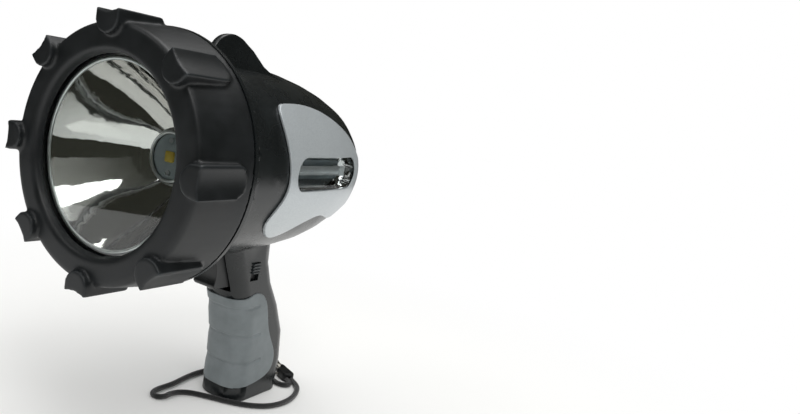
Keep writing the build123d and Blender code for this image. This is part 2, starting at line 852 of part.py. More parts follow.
plate_front = cells_front - cradle_front_plate / 2
plate_rear = cells_rear - cradle_inset - cradle_plate
rail_top = cells_up - cell_pitch / 2 - cell_radius - seat_gap
standoff_places = [
    (across * (control_width / 2 - control_corner_inset), up * (control_height / 2 - control_corner_inset))
    for across in (-1, 1)
    for up in (-1, 1)
]
with BuildPart() as battery_cradle:
    for back, thickness in ((plate_front, cradle_front_plate), (plate_rear, cradle_plate)):
        with BuildSketch(front.offset(back)):
            Circle(side_reach)
        extrude(amount=thickness)
    with BuildSketch(front.offset(plate_front)):
        with Locations((0, rail_top - cradle_rail_height / 2)):
            Rectangle(cradle_rail_width, cradle_rail_height)
    extrude(amount=plate_rear - plate_front)
    add(barrel(-housing_wall - seat_gap), mode=Mode.INTERSECT)
    add(lamp_slot(2 * trough_margin, trough_floor - trough_wall, side_reach), mode=Mode.SUBTRACT)
    for back, up in boss_places:
        add(rod(back, up, boss_radius + seat_gap, -side_reach, side_reach), mode=Mode.SUBTRACT)
    with BuildSketch(front.offset(cells_front)):
        with Locations(*cell_places):
            Circle(cell_radius + seat_gap)
    extrude(amount=cell_length, mode=Mode.SUBTRACT)
    with BuildSketch(front.offset(cells_front - terminal_height - seat_gap)):
        with Locations(*cell_places):
            Circle(terminal_radius + seat_gap)
        with Locations((0, cells_up)):
            Circle(cradle_window_radius)
    extrude(amount=cell_length, mode=Mode.SUBTRACT)
    with BuildSketch(front.offset(plate_front - standoff_length)):
        with Locations(*standoff_places):
            Circle(standoff_radius)
    extrude(amount=standoff_length)
finish(battery_cradle.part, "battery_cradle")

# Control board on the cradle's standoffs
control_back = plate_front - standoff_length
with BuildPart() as control_board:
    with BuildSketch(front.offset(control_back)):
        Rectangle(control_width, control_height)
    extrude(amount=-control_thickness)
    with BuildSketch(front.offset(control_back - control_thickness)):
        with GridLocations(control_width / 2, control_height / 2, 2, 2):
            Rectangle(control_chip, control_chip * 2 / 3)
    extrude(amount=-control_chip_height)
finish(control_board.part, "control_board")

# Charge socket in the slanting face, a round jack with a centre pin
with BuildPart() as charge_socket:
    with BuildSketch(rear_face.offset(-pocket_depth)):
        Circle(socket_radius)
    extrude(amount=-socket_length)
    with BuildSketch(rear_face.offset(-pocket_depth)):
        Circle(plug_bore_radius)
        Circle(centre_pin_radius, mode=Mode.SUBTRACT)
    extrude(amount=-plug_bore_depth, mode=Mode.SUBTRACT)
    with BuildSketch(rear_face.offset(-pocket_depth)):
        Circle(centre_pin_radius)
    extrude(amount=-cover_boss_height - 2 * running_gap, mode=Mode.SUBTRACT)
finish(charge_socket.part, "charge_socket")

# Charge cover: a flap with a round hinge end, and the plug that closes the socket
cover_outer = -seat_gap
cover_inner = cover_outer - cover_thickness
cover_free_end = running_gap - pocket_length / 2
with BuildPart() as port_cover:
    with BuildSketch(rear_side):
        with BuildLine():
            Polyline(
                (hinge_along, cover_outer), (cover_free_end, cover_outer),
                (cover_free_end, cover_inner), (hinge_along, cover_inner),
            )
            ThreePointArc(
                (hinge_along, cover_inner),
                (hinge_along + cover_hinge_radius, (cover_outer + cover_inner) / 2),
                (hinge_along, cover_outer),
            )
        make_face()
    extrude(amount=pocket_width / 2 - running_gap, both=True)
    with BuildSketch(rear_face.offset(cover_inner)):
        Circle(cover_boss_radius)
    extrude(amount=-cover_boss_height)
    with BuildSketch(rear_side):
        with Locations((hinge_along, (cover_outer + cover_inner) / 2)):
            Circle(cover_pin_radius + cover_pin_clearance)
    extrude(amount=pocket_width, both=True, mode=Mode.SUBTRACT)
finish(port_cover.part, "port_cover")

with BuildPart() as cover_pin:
    with BuildSketch(rear_side):
        with Locations((hinge_along, (cover_outer + cover_inner) / 2)):
            Circle(cover_pin_radius)
    extrude(amount=pocket_width / 2 + cover_pin_grip, both=True)
finish(cover_pin.part, "cover_pin")

# Trigger: a beaked lever with a hollow front, turning on a pin inside the grip
trigger_outline = measured(trigger_outline_shares, barrel_radius)
trigger_hollow = measured([trigger_hollow_shares], barrel_radius)[0]
with BuildPart() as trigger:
    with BuildSketch(side):
        with BuildLine():
            Polyline(*trigger_outline)
            ThreePointArc(trigger_outline[-1], trigger_hollow, trigger_outline[0])
        make_face()
    extrude(amount=trigger_half_width, both=True)
    pin_bore = trigger_pin_radius + trigger_pin_clearance
    add(rod(pin_back, pin_up, pin_bore, -side_reach, side_reach), mode=Mode.SUBTRACT)
finish(trigger.part, "trigger")

with BuildPart() as trigger_pin:
    add(rod(pin_back, pin_up, trigger_pin_radius, -trigger_pin_half_length, trigger_pin_half_length))
finish(trigger_pin.part, "trigger_pin")

# Trigger switch on the left half's pegs, and the leaf spring that pushes the trigger out
plunger_up = switch_middle_up - switch_peg_place / 2
with BuildPart() as trigger_switch:
    with BuildSketch(side):
        with Locations((switch_front + switch_depth / 2, switch_middle_up)):
            Rectangle(switch_depth, switch_length)
    extrude(amount=switch_half_width, both=True)
    with BuildSketch(side):
        with Locations((switch_front - plunger_height / 2, plunger_up)):
            Rectangle(plunger_height, plunger_size)
    extrude(amount=plunger_size / 2, both=True)
    for place in (switch_peg_place, -switch_peg_place):
        peg_bore = switch_peg_radius + seat_gap
        add(
            rod(switch_middle_back, switch_middle_up + place, peg_bore, -side_reach, side_reach),
            mode=Mode.SUBTRACT,
        )
finish(trigger_switch.part, "trigger_switch")

with BuildPart() as trigger_spring:
    with BuildSketch(side):
        with BuildLine():
            leaf = Polyline(*measured(spring_path_shares, barrel_radius))
            offset(leaf, amount=spring_thickness, side=Side.LEFT)
        make_face()
    extrude(amount=spring_width / 2, both=True)
finish(trigger_spring.part, "trigger_spring")

# Selector: a slide switch inside the left wall, and the ribbed knob in the window
selector_face = grip_half_width - housing_wall - seat_gap
knob_middle_back = (window_front + window_rear) / 2
knob_middle_up = window_top - running_gap - knob_length / 2
knob_outer = grip_half_width + knob_proud
with BuildPart() as selector_switch:
    with BuildSketch(side.offset(selector_face)):
        with Locations((knob_middle_back, (window_top + window_bottom) / 2)):
            Rectangle(window_rear - window_front, window_top - window_bottom)
    extrude(amount=-selector_depth)
finish(selector_switch.part, "selector_switch")

with BuildPart() as selector_knob:
    with BuildSketch(side.offset(selector_face + running_gap)):
        with Locations((knob_middle_back, knob_middle_up)):
            Rectangle(window_rear - window_front - 4 * running_gap, knob_length)
    extrude(amount=knob_outer - selector_face - running_gap)
    with BuildSketch(side.offset(knob_outer - knob_rib_depth)):
        with Locations((knob_middle_back, knob_middle_up)):
            with GridLocations(0, 2 * knob_rib_width, 1, knob_rib_count):
                Rectangle(window_rear - window_front, knob_rib_width)
    extrude(amount=2 * knob_rib_depth, mode=Mode.SUBTRACT)
finish(selector_knob.part, "selector_knob")

# Grip pad: a rubber skin wrapped round the front of the grip, with three creases
with BuildPart() as creases:
    for front_share, front_up, rear_share, rear_up_share in pad_groove_shares:
        crease_start, crease_end = measured(
            [(front_share - crease_lead_share, front_up), (rear_share, rear_up_share)], axis_height
        )
        with BuildSketch(side.offset(-side_reach / 2)):
            with BuildLine():
                Line(crease_start, crease_end)
            trace(line_width=pad_groove_width)
        extrude(amount=side_reach)
    add(grip(pad_proud - pad_groove_depth), mode=Mode.SUBTRACT)
with BuildPart() as grip_pad:
    add(pad_region(pad_proud))
    add(grip(-pad_inset), mode=Mode.SUBTRACT)
    add(creases.part, mode=Mode.SUBTRACT)
finish(grip_pad.part, "grip_pad")

# Snap hook: a bent wire nose through the grip's eye, a flat body, a sliding bolt and a swivel ring
eye_point = side.from_local_coords(Vector(grip_eye_back, grip_eye_up))
ring_point = Vector(front_reach - ring_centre_back, ring_centre_left, ring_centre_height)
hook_along = (ring_point - eye_point).normalized()
hook_plane = Plane(origin=eye_point, x_dir=hook_along, z_dir=hook_along.cross(Vector(0, 1, 0)))
hook_cross = Plane(origin=eye_point, x_dir=hook_plane.y_dir, z_dir=hook_along)
ring_distance = (ring_point - eye_point).length
hook_rear = hook_inside + hook_body_length
nose_end = hook_half_width - bolt_radius - running_gap
collar_start = hook_rear + running_gap
collar_end = collar_start + collar_length
with BuildPart() as clasp_hook:
    with BuildLine(hook_plane) as nose:
        FilletPolyline(
            (hook_inside + hook_wire_radius, -hook_half_width), (0, -hook_half_width), (0, nose_end),
            radius=hook_bend,
        )
    with BuildSketch(Plane(origin=nose.line @ 0, z_dir=nose.line % 0)):
        Circle(hook_wire_radius)
    sweep(path=nose.line)
    with BuildSketch(hook_cross.offset(hook_inside)):
        RectangleRounded(2 * hook_body_half_width, hook_body_thickness, hook_body_thickness / 4)
        with Locations((hook_half_width, 0)):
            Circle(bolt_radius + running_gap, mode=Mode.SUBTRACT)
    extrude(amount=hook_body_length)
    with BuildSketch(hook_cross.offset(hook_rear)):
        Circle(post_radius)
    extrude(amount=collar_end + running_gap - hook_rear)
    with BuildSketch(hook_cross.offset(collar_end + running_gap)):
        Circle(post_head_radius)
    extrude(amount=post_head_height)
finish(clasp_hook.part, "clasp_hook")

with BuildPart() as clasp_bolt:
    with BuildSketch(hook_cross.offset(-hook_wire_radius)):
        with Locations((hook_half_width, 0)):
            Circle(bolt_radius)
    extrude(amount=hook_rear + hook_wire_radius)
    stud_point = hook_plane.from_local_coords(Vector(stud_place, 0))
    with BuildSketch(Plane(origin=stud_point, z_dir=hook_plane.y_dir)):
        Circle(stud_radius)
    extrude(amount=stud_reach)
    with BuildSketch(hook_cross.offset(-hook_wire_radius)):
        with Locations((hook_half_width - stud_reach / 2 - bolt_radius, 0)):
            Rectangle(stud_reach, 2 * hook_wire_radius)
    extrude(amount=hook_rear, mode=Mode.SUBTRACT)
finish(clasp_bolt.part, "clasp_bolt")

with BuildPart() as swivel_ring:
    with BuildSketch(Plane(
        origin=hook_plane.from_local_coords(Vector(ring_distance + ring_radius, 0)),
        x_dir=hook_along, z_dir=hook_plane.z_dir,
    )):
        Circle(ring_wire_radius)
    revolve(axis=Axis(ring_point, hook_plane.y_dir))
    with BuildSketch(hook_cross.offset(collar_start)):
        Circle(collar_radius)
    extrude(amount=collar_length)
    with BuildSketch(hook_cross.offset(collar_start - running_gap)):
        Circle(post_radius + running_gap)
    extrude(amount=collar_length + 2 * running_gap, mode=Mode.SUBTRACT)
finish(swivel_ring.part, "swivel_ring")

# Lanyard end piece: a moulded block with an eye for the ring and two bores for the cord
ring_rearward = Vector(0, 0, 1).cross(hook_plane.y_dir).normalized()
sleeve_eye_point = ring_point + ring_rearward * ring_radius
sleeve_floor = Vector(sleeve_eye_point.X, sleeve_eye_point.Y, 0)
sleeve_along = Vector(cos(radians(sleeve_heading)), sin(radians(sleeve_heading)), 0)
sleeve_plane = Plane(origin=sleeve_floor, x_dir=sleeve_along, z_dir=(0, 0, 1))
sleeve_end = Plane(
    origin=sleeve_floor + sleeve_along * sleeve_reach, x_dir=sleeve_plane.y_dir, z_dir=sleeve_along
)
sleeve_start = -sleeve_eye_radius - sleeve_eye_wall
cord_height = cord_diameter / 2 + cord_floor_gap
with BuildPart() as cord_sleeve:
    with BuildSketch(sleeve_plane.offset(sleeve_bottom)):
        with Locations(((sleeve_start + sleeve_reach) / 2, 0)):
            RectangleRounded(sleeve_reach - sleeve_start, sleeve_width, sleeve_width / 3)
    extrude(amount=sleeve_top - sleeve_bottom)
    fillet(cord_sleeve.edges().group_by(Axis.Z)[-1], sleeve_round)
    with BuildSketch(sleeve_plane):
        with Locations(((sleeve_start - cut_over + sleeve_eye_length) / 2, 0)):
            Rectangle(sleeve_eye_length - sleeve_start + cut_over, 2 * sleeve_width)
    extrude(amount=sleeve_eye_bottom, mode=Mode.SUBTRACT)
    with BuildSketch(sleeve_plane):
        Circle(sleeve_eye_radius)
    extrude(amount=2 * sleeve_top, mode=Mode.SUBTRACT)
    with BuildSketch(sleeve_end):
        with Locations((-cord_spacing / 2, cord_height), (cord_spacing / 2, cord_height)):
            Circle(cord_diameter / 2)
    extrude(amount=-cord_bore_depth, mode=Mode.SUBTRACT)
finish(cord_sleeve.part, "cord_sleeve")

# Wrist loop: one cord that leaves the end piece, lies round the grip's base and comes back
cord_outer = sleeve_end.origin + sleeve_plane.y_dir * (cord_spacing / 2)
cord_inner = sleeve_end.origin - sleeve_plane.y_dir * (cord_spacing / 2)
cord_floor_route = [
    (-37, 28), (-22, 33.9), (-8, 35.5), (6, 33), (17, 25.5), (25, 14.5), (31, 2.5), (37, -8.5),
    (43.5, -14), (51, -15.5), (57.5, -14.5), (62, -16.8), (62.3, -21.2), (58, -24), (51, -24.8),
    (38, -24.5),
    (23, -27), (6.4, -28), (-10, -25.5), (-22, -20.5), (-30.4, -14.6), (-34.4, -6.4), (-34.9, 3.4),
    (-32.4, 9.5), (-30.1, 14.7), (-31.7, 19.3), (-36.3, 21),
]
cord_route = [
    cord_outer - sleeve_along * cord_bore_depth,
    cord_outer + sleeve_along * cord_straight,
    *[Vector(ahead, left, 0) for ahead, left in cord_floor_route],
    cord_inner + sleeve_along * cord_straight,
    cord_inner - sleeve_along * cord_bore_depth,
]
cord_points = [point + Vector(0, 0, cord_height) for point in cord_route]
cord_runs = [after - before for before, after in zip(cord_points, cord_points[1:])]
cord_radii = []
for run_in, run_out in zip(cord_runs, cord_runs[1:]):
    half_turn = radians(run_in.get_angle(run_out)) / 2
    cord_radii.append(cord_arc_share * min(run_in.length, run_out.length) / tan(half_turn))
with BuildPart() as wrist_loop:
    with BuildLine() as cord_path:
        FilletPolyline(*cord_points, radius=cord_radii)
    with BuildSketch(Plane(origin=cord_path.line @ 0, z_dir=cord_path.line % 0)):
        Circle(cord_diameter / 2)
    sweep(path=cord_path.line)
finish(wrist_loop.part, "wrist_loop")
cord_length = sum(edge.length for edge in cord_path.edges())
cord_volume = pi * (cord_diameter / 2) ** 2 * cord_length
print("cord bend radii", [round(radius, 1) for radius in cord_radii])
print("cord runs", [round(run.length, 1) for run in cord_runs])
print("cord length", round(cord_length, 1), "volume share", round(wrist_loop.part.volume / cord_volume, 4))
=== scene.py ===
"""Looks for the pistol-grip rechargeable spotlight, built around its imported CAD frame.

Lengths are in metres. +X is the way the beam points, +Y is the left side, +Z is up,
and the grip's flat base stands on the floor at the origin.
"""

import json
from math import radians

import bpy
from mathutils import Matrix, Vector


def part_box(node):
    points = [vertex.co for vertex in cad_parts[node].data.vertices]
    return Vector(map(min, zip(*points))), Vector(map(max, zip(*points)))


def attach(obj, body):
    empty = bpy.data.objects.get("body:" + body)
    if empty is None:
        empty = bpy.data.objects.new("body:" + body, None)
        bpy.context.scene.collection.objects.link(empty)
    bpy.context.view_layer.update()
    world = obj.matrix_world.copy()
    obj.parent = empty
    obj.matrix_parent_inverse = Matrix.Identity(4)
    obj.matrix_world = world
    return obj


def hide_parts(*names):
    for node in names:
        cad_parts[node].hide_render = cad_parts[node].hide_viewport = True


MM = 0.001

# The photograph's camera: place, three directions, and a lens for an 800 by 414 picture
PHOTO_WIDTH = 800
PHOTO_HEIGHT = 414
CAMERA_PLACE = Vector((387.52, 256.42, 201.65)) * MM
CAMERA_RIGHT = Vector((-0.67103, 0.72884, 0.13607))
CAMERA_DOWN = Vector((0.02846, 0.2087, -0.97757))
CAMERA_FORWARD = Vector((-0.74088, -0.6521, -0.16079))
FOCAL_PIXELS = 700
OPTICAL_CENTRE = (169.4, 196.6)
SENSOR_WIDTH = 36
NEAREST_SEEN = 10 * MM

# Softened edges and shading of moulded pieces
SMOOTH_ANGLE = radians(38)
REMESHED_ANGLE = radians(70)
EDGE_ANGLE = radians(35)
EDGE_SEGMENTS = 2
LARGE_FACE_WEIGHT = 50
WELD_DISTANCE = 0.002 * MM
FLAT_ANGLE = radians(0.5)
SMOOTH_SHARE = 0.5

# Where a noise is stretched from, and the pointiness at which the painted edge highlight starts and
# is full
NOISE_LOW = 0.3
NOISE_HIGH = 0.7
HIGHLIGHT_FROM = 0.52
HIGHLIGHT_FULL = 0.62

# A colour mix node has sockets of one name for each kind of value: these are the colours'
MIX_FIRST = 6
MIX_SECOND = 7
MIX_RESULT = 2

# Pieces made again from their CAD nodes: node, name, edge radius, and whether the shading comes
# from the widest faces
MOULDED_PIECES = (
    ("housing_left", "housing_left_half", 0, True),
    ("housing_right", "housing_right_half", 0, True),
    ("side_panel_left", "silver_panel_left", 0.35 * MM, False),
    ("side_panel_right", "silver_panel_right", 0.35 * MM, False),
    ("front_lens", "lens_disc", 0, True),
    ("reflector", "dish", 0, True),
    ("side_lamp_lens", "side_window", 0.4 * MM, False),
    ("side_lamp_reflector", "side_trough", 0, False),
    ("side_lamp_tube", "side_tube", 0.3 * MM, False),
    ("trigger", "trigger_lever", 0.6 * MM, False),
    ("selector_knob", "slider_knob", 0.2 * MM, False),
    ("port_cover", "charge_flap", 0.4 * MM, False),
    ("cord_sleeve", "lanyard_end", 0, False),
    ("clasp_hook", "snap_hook", 0, False),
    ("clasp_bolt", "snap_bolt", 0, False),
    ("swivel_ring", "swivel", 0, False),
    ("led_board", "led_disc", 0, True),
    ("led_emitter", "led_chip", 0, False),
    ("heat_sink", "heat_sink_fins", 0, False),
    ("charge_socket", "charge_jack", 0, False),
)

# Grip pad: remesh size, its swelling while it is remeshed, the smoothing rounds, and its creases
# from front to rear as (x, z), with their section
PAD_VOXEL = 0.55 * MM
PAD_SWELL = 0.3 * MM
PAD_ROUNDS = 4
PAD_CREASES = (
    ((31.3, 62.8), (11.4, 66.8)), ((29.0, 44.0), (5.4, 46.4)), ((26.4, 24.5), (0.8, 27.9)),
)
CREASE_DEPTH = 0.45 * MM
CREASE_ABOVE = 2.0 * MM
CREASE_BELOW = 6.0 * MM
CREASE_FADE = 0.25

# Lanyard cord: its size, its braid, its route from the end piece and back into it, and how
# finely its tube is cut
CORD_DIAMETER = 3.4 * MM
CORD_HEIGHT = 1.8 * MM
BRAID_PICKS = 160
BRAID_STRANDS = 2
CORD_START = ((-46.4, 14.7), (-43.58, 20.0))
CORD_ROUTE = (
    (-37, 28), (-22, 33.9), (-8, 35.5), (6, 33), (17, 25.5), (25, 14.5), (31, 2.5), (37, -8.5),
    (43.5, -14), (51, -15.5), (57.5, -14.5), (62, -16.8), (62.3, -21.2), (58, -24), (51, -24.8),
    (38, -24.5), (23, -27), (6.4, -28), (-10, -25.5), (-22, -20.5), (-30.4, -14.6), (-34.4, -6.4),
    (-34.9, 3.4), (-32.4, 9.5), (-30.1, 14.7), (-31.7, 19.3), (-36.3, 21),
)
CORD_END = ((-40.31, 18.26), (-43.12, 12.96))
CORD_ROUND_STEPS = 6
CORD_LINE_STEPS = 10

# Bezel: the remesh size and the smoothing that round its lobes
BEZEL_VOXEL = 0.85 * MM
BEZEL_ROUNDS = 8

# Crest fins: each one's plane, half its thickness, and its outline in the side view (x, z)
FIN_PLACE = 22 * MM
FIN_HALF = 2.25 * MM
FIN_CREST = (
    (107.6, 211.0), (105.3, 221.0), (101.6, 226.4), (96.4, 229.5), (89.0, 230.6), (81.5, 229.2),
    (75.0, 226.2), (70.0, 223.6), (64.0, 220.0), (58.0, 216.6), (51.0, 213.6), (46.0, 211.6),
)
FIN_FOOT = ((47.0, 209.0), (95.0, 210.0))
FIN_STEPS = 6
FIN_EDGE = 1.3 * MM
FIN_EDGE_ANGLE = radians(60)
FIN_EDGE_SEGMENTS = 4

# Plated rings at the dish's mouth and throat: radius, and half the width and depth. The lip's
# middle is set back from the lens by more than its half depth, so that the two stay apart
AXIS_HEIGHT = 161 * MM
LIP_RADIUS = 49.0 * MM
LIP_WIDTH = 1.3 * MM
LIP_DEPTH = 0.9 * MM
LIP_SET_BACK = 1.2 * MM
RING_RADIUS = 13.6 * MM
RING_WIDTH = 0.9 * MM
RING_DEPTH = 1.1 * MM
RING_SEGMENTS = 120
RING_SECTION_SEGMENTS = 16
RING_ANGLE = radians(80)

# Dark curtain round the studio. The camera doesn't see it, but reflections and views through
# clear pieces do, and see it in place of the white background
CURTAIN_RADIUS = 0.8
CURTAIN_HEIGHT = 1.5
CURTAIN_SIDES = 64

# Floor: its size, and how far from the grip it starts to turn white and is all white
FLOOR_SIZE = 6
FLOOR_PALE_TO = 0.15
FLOOR_WHITE_FROM = 0.5
WORLD_LIGHT = 0.75

# Studio lamps: name, place, the point they face, width, height and power
STUDIO_LAMPS = (
    ("key_softbox", (0.42, 0.52, 0.95), (0, 0, 0.12), 0.5, 0.5, 2.8),
    ("top_softbox", (-0.25, 0.1, 1.0), (0, 0, 0.15), 0.8, 0.5, 2.5),
    ("fill_softbox", (0.6, -0.42, 0.75), (0, 0, 0.12), 0.4, 0.4, 0.9),
)


def linear(code):
    """A colour written as sRGB hex, as the linear values that shaders take."""
    values = [int(code[i:i + 2], 16) / 255 for i in (1, 3, 5)]
    return tuple(v / 12.92 if v <= 0.04045 else ((v + 0.055) / 1.055) ** 2.4 for v in values) + (1,)


def add_node(tree, kind, settings=None, links=None):
    """Adds a node. links maps its inputs to values, or to the outputs that feed them."""
    node = tree.nodes.new(kind)
    for name, value in (settings or {}).items():
        setattr(node, name, value)
    for name, value in (links or {}).items():
        if isinstance(value, bpy.types.NodeSocket):
            tree.links.new(value, node.inputs[name])
        else:
            node.inputs[name].default_value = value
    return node


def new_material(name):
    """An empty node material, its tree and the piece's own coordinates."""
    material = bpy.data.materials.new(name)
    material.use_nodes = True
    tree = material.node_tree
    tree.nodes.clear()
    place = add_node(tree, "ShaderNodeTexCoord").outputs["Object"]
    return material, tree, place


def close_material(tree, shader):
    """Joins the last shader to the material's output."""
    add_node(tree, "ShaderNodeOutputMaterial", links={"Surface": shader})


def speckle(tree, place, size, detail):
    """Noise whose grains are about size metres across, from 0 to 1."""
    noise = add_node(
        tree, "ShaderNodeTexNoise", {"noise_dimensions": "3D"},
        {"Vector": place, "Scale": 1 / size, "Detail": detail, "Roughness": 0.55},
    )
    return noise.outputs["Fac"]


def spread(tree, value, low, high):
    """A pattern from 0 to 1, stretched to run from low to high."""
    ramp = add_node(
        tree, "ShaderNodeMapRange", {"clamp": True},
        {"Value": value, "From Min": NOISE_LOW, "From Max": NOISE_HIGH,
         "To Min": low, "To Max": high},
    )
    return ramp.outputs["Result"]


def between(tree, value, first, second):
    """A colour between two sRGB hex colours, as a pattern says."""
    mix = add_node(tree, "ShaderNodeMix", {"data_type": "RGBA"}, {"Factor": value})
    mix.inputs[MIX_FIRST].default_value = linear(first)
    mix.inputs[MIX_SECOND].default_value = linear(second)
    return mix.outputs[MIX_RESULT]


def raised(tree, height, depth):
    """A surface normal bumped by a height pattern, depth metres deep."""
    return add_node(
        tree, "ShaderNodeBump", links={"Height": height, "Distance": depth, "Strength": 1.0},
    ).outputs["Normal"]


def edge_highlight_mask(tree):
    """1 on outer edges and near 0 elsewhere, from the shape itself: where the bezel's painted
    highlight goes.
    """
    geometry = add_node(tree, "ShaderNodeNewGeometry")
    ramp = add_node(
        tree, "ShaderNodeMapRange", {"clamp": True},
        {"Value": geometry.outputs["Pointiness"], "From Min": HIGHLIGHT_FROM,
         "From Max": HIGHLIGHT_FULL, "To Min": 0.0, "To Max": 1.0},
    )
    return ramp.outputs["Result"]


def bezel_rubber():
    """Thermoplastic rubber from a blasted mould: dark, satin, with a painted highlight that greys
    its outer edges.
    """
    material, tree, place = new_material("bezel_rubber")
    cloud = speckle(tree, place, 14 * MM, 3)
    grain = speckle(tree, place, 0.45 * MM, 2)
    colour = between(tree, spread(tree, cloud, 0, 1), "#131617", "#1b1e20")
    # Outer edges and lobe crests are greyed towards #353a3d: a painted highlight
    painted_highlight = add_node(tree, "ShaderNodeMix", {"data_type": "RGBA"}, {"Factor": edge_highlight_mask(tree)})
    tree.links.new(colour, painted_highlight.inputs[MIX_FIRST])
    painted_highlight.inputs[MIX_SECOND].default_value = linear("#353a3d")
    shader = add_node(tree, "ShaderNodeBsdfPrincipled", links={
        "Base Color": painted_highlight.outputs[MIX_RESULT],
        "Roughness": spread(tree, cloud, 0.38, 0.47),
        "IOR": 1.46,
        "Normal": raised(tree, grain, 0.03 * MM),
    })
    close_material(tree, shader.outputs["BSDF"])
    return material


def housing_abs():
    """Moulded ABS with a fine eroded finish: near black, with a soft broad sheen."""
    material, tree, place = new_material("housing_abs")
    cloud = speckle(tree, place, 20 * MM, 2)
    grain = speckle(tree, place, 0.35 * MM, 2)
    shader = add_node(tree, "ShaderNodeBsdfPrincipled", links={
        "Base Color": between(tree, spread(tree, cloud, 0, 1), "#121516", "#191d1e"),
        "Roughness": spread(tree, cloud, 0.24, 0.31),
        "IOR": 1.53,
        "Normal": raised(tree, grain, 0.012 * MM),
    })
    close_material(tree, shader.outputs["BSDF"])
    return material


def silver_lacquer():
    """Silver lacquer over ABS: aluminium flake in a clear binder, so it glitters finely."""
    material, tree, place = new_material("silver_lacquer")
    flake = add_node(tree, "ShaderNodeTexVoronoi", {"feature": "F1"},
                     {"Vector": place, "Scale": 1 / (0.3 * MM)})
    glint = add_node(tree, "ShaderNodeSeparateColor", links={"Color": flake.outputs["Color"]})
    cloud = speckle(tree, place, 25 * MM, 2)
    shader = add_node(tree, "ShaderNodeBsdfPrincipled", links={
        "Base Color": between(tree, glint.outputs["Red"], "#b0b6b9", "#c4cacc"),
        "Metallic": 0.35,
        "Roughness": spread(tree, cloud, 0.30, 0.37),
        "IOR": 1.5,
        "Coat Weight": 0.25,
        "Coat Roughness": 0.2,
        "Normal": raised(tree, glint.outputs["Green"], 0.004 * MM),
    })
    close_material(tree, shader.outputs["BSDF"])
    return material


def clear_polycarbonate(name, tint, bending):
    """Clear moulded polycarbonate: shadow rays pass, so what is behind it stays lit.

    A thin window is given less bending than the plastic has, as its two faces undo it.
    """
    material, tree, place = new_material(name)
    ripple = speckle(tree, place, 30 * MM, 1)
    glass = add_node(tree, "ShaderNodeBsdfPrincipled", links={
        "Base Color": linear(tint),
        "Roughness": 0.02,
        "IOR": bending,
        "Transmission Weight": 1.0,
        "Normal": raised(tree, ripple, 0.02 * MM),
    })
    open_air = add_node(tree, "ShaderNodeBsdfTransparent", links={"Color": linear(tint)})
    rays = add_node(tree, "ShaderNodeLightPath")
    mix = add_node(tree, "ShaderNodeMixShader", links={"Fac": rays.outputs["Is Shadow Ray"]})
    tree.links.new(glass.outputs["BSDF"], mix.inputs[1])
    tree.links.new(open_air.outputs["BSDF"], mix.inputs[2])
    close_material(tree, mix.outputs["Shader"])
    return material


def plated_reflector():
    """Vacuum-plated plastic under a clear lacquer: a mirror with the faintest haze."""
    material, tree, place = new_material("plated_reflector")
    haze = speckle(tree, place, 9 * MM, 3)
    shader = add_node(tree, "ShaderNodeBsdfPrincipled", links={
        "Base Color": linear("#dedcda"),
        "Metallic": 1.0,
        "Roughness": spread(tree, haze, 0.03, 0.06),
        "Normal": raised(tree, haze, 0.01 * MM),
    })
    close_material(tree, shader.outputs["BSDF"])
    return material


def grip_rubber():
    """Soft-touch overmoulded rubber: mid grey, matt, with a powdery bloom at the edges."""
    material, tree, place = new_material("grip_rubber")
    cloud = speckle(tree, place, 12 * MM, 3)
    grain = speckle(tree, place, 0.3 * MM, 2)
    shader = add_node(tree, "ShaderNodeBsdfPrincipled", links={
        "Base Color": between(tree, spread(tree, cloud, 0, 1), "#6c7375", "#7b8284"),
        "Roughness": spread(tree, cloud, 0.55, 0.66),
        "IOR": 1.5,
        "Sheen Weight": 0.15,
        "Sheen Roughness": 0.4,
        "Normal": raised(tree, grain, 0.02 * MM),
    })
    close_material(tree, shader.outputs["BSDF"])
    return material


def moulded_plastic(name, dark, light, roughness):
    """Plain moulded plastic in one tone, with a faint clouding and a fine mould grain."""
    material, tree, place = new_material(name)
    cloud = speckle(tree, place, 10 * MM, 2)
    grain = speckle(tree, place, 0.4 * MM, 2)
    shader = add_node(tree, "ShaderNodeBsdfPrincipled", links={
        "Base Color": between(tree, spread(tree, cloud, 0, 1), dark, light),
        "Roughness": spread(tree, cloud, roughness, roughness + 0.08),
        "IOR": 1.5,
        "Normal": raised(tree, grain, 0.01 * MM),
    })
    close_material(tree, shader.outputs["BSDF"])
    return material


def worked_metal(name, dark, light, roughness, grain_size):
    """Bare or plated metal, with a fine grain left by its making."""
    material, tree, place = new_material(name)
    cloud = speckle(tree, place, 4 * MM, 3)
    grain = speckle(tree, place, grain_size, 2)
    shader = add_node(tree, "ShaderNodeBsdfPrincipled", links={
        "Base Color": between(tree, spread(tree, cloud, 0, 1), dark, light),
        "Metallic": 1.0,
        "Roughness": spread(tree, cloud, roughness, roughness + 0.1),
        "Normal": raised(tree, grain, 0.003 * MM),
    })
    close_material(tree, shader.outputs["BSDF"])
    return material


def led_phosphor():
    """Silicone filled with yellow phosphor: bright, soft and slightly glossy."""
    material, tree, place = new_material("led_phosphor")
    grain = speckle(tree, place, 0.2 * MM, 2)
    shader = add_node(tree, "ShaderNodeBsdfPrincipled", links={
        "Base Color": between(tree, grain, "#d9b437", "#f0d65c"),
        "Roughness": 0.3,
        "IOR": 1.41,
        "Normal": raised(tree, grain, 0.01 * MM),
    })
    close_material(tree, shader.outputs["BSDF"])
    return material


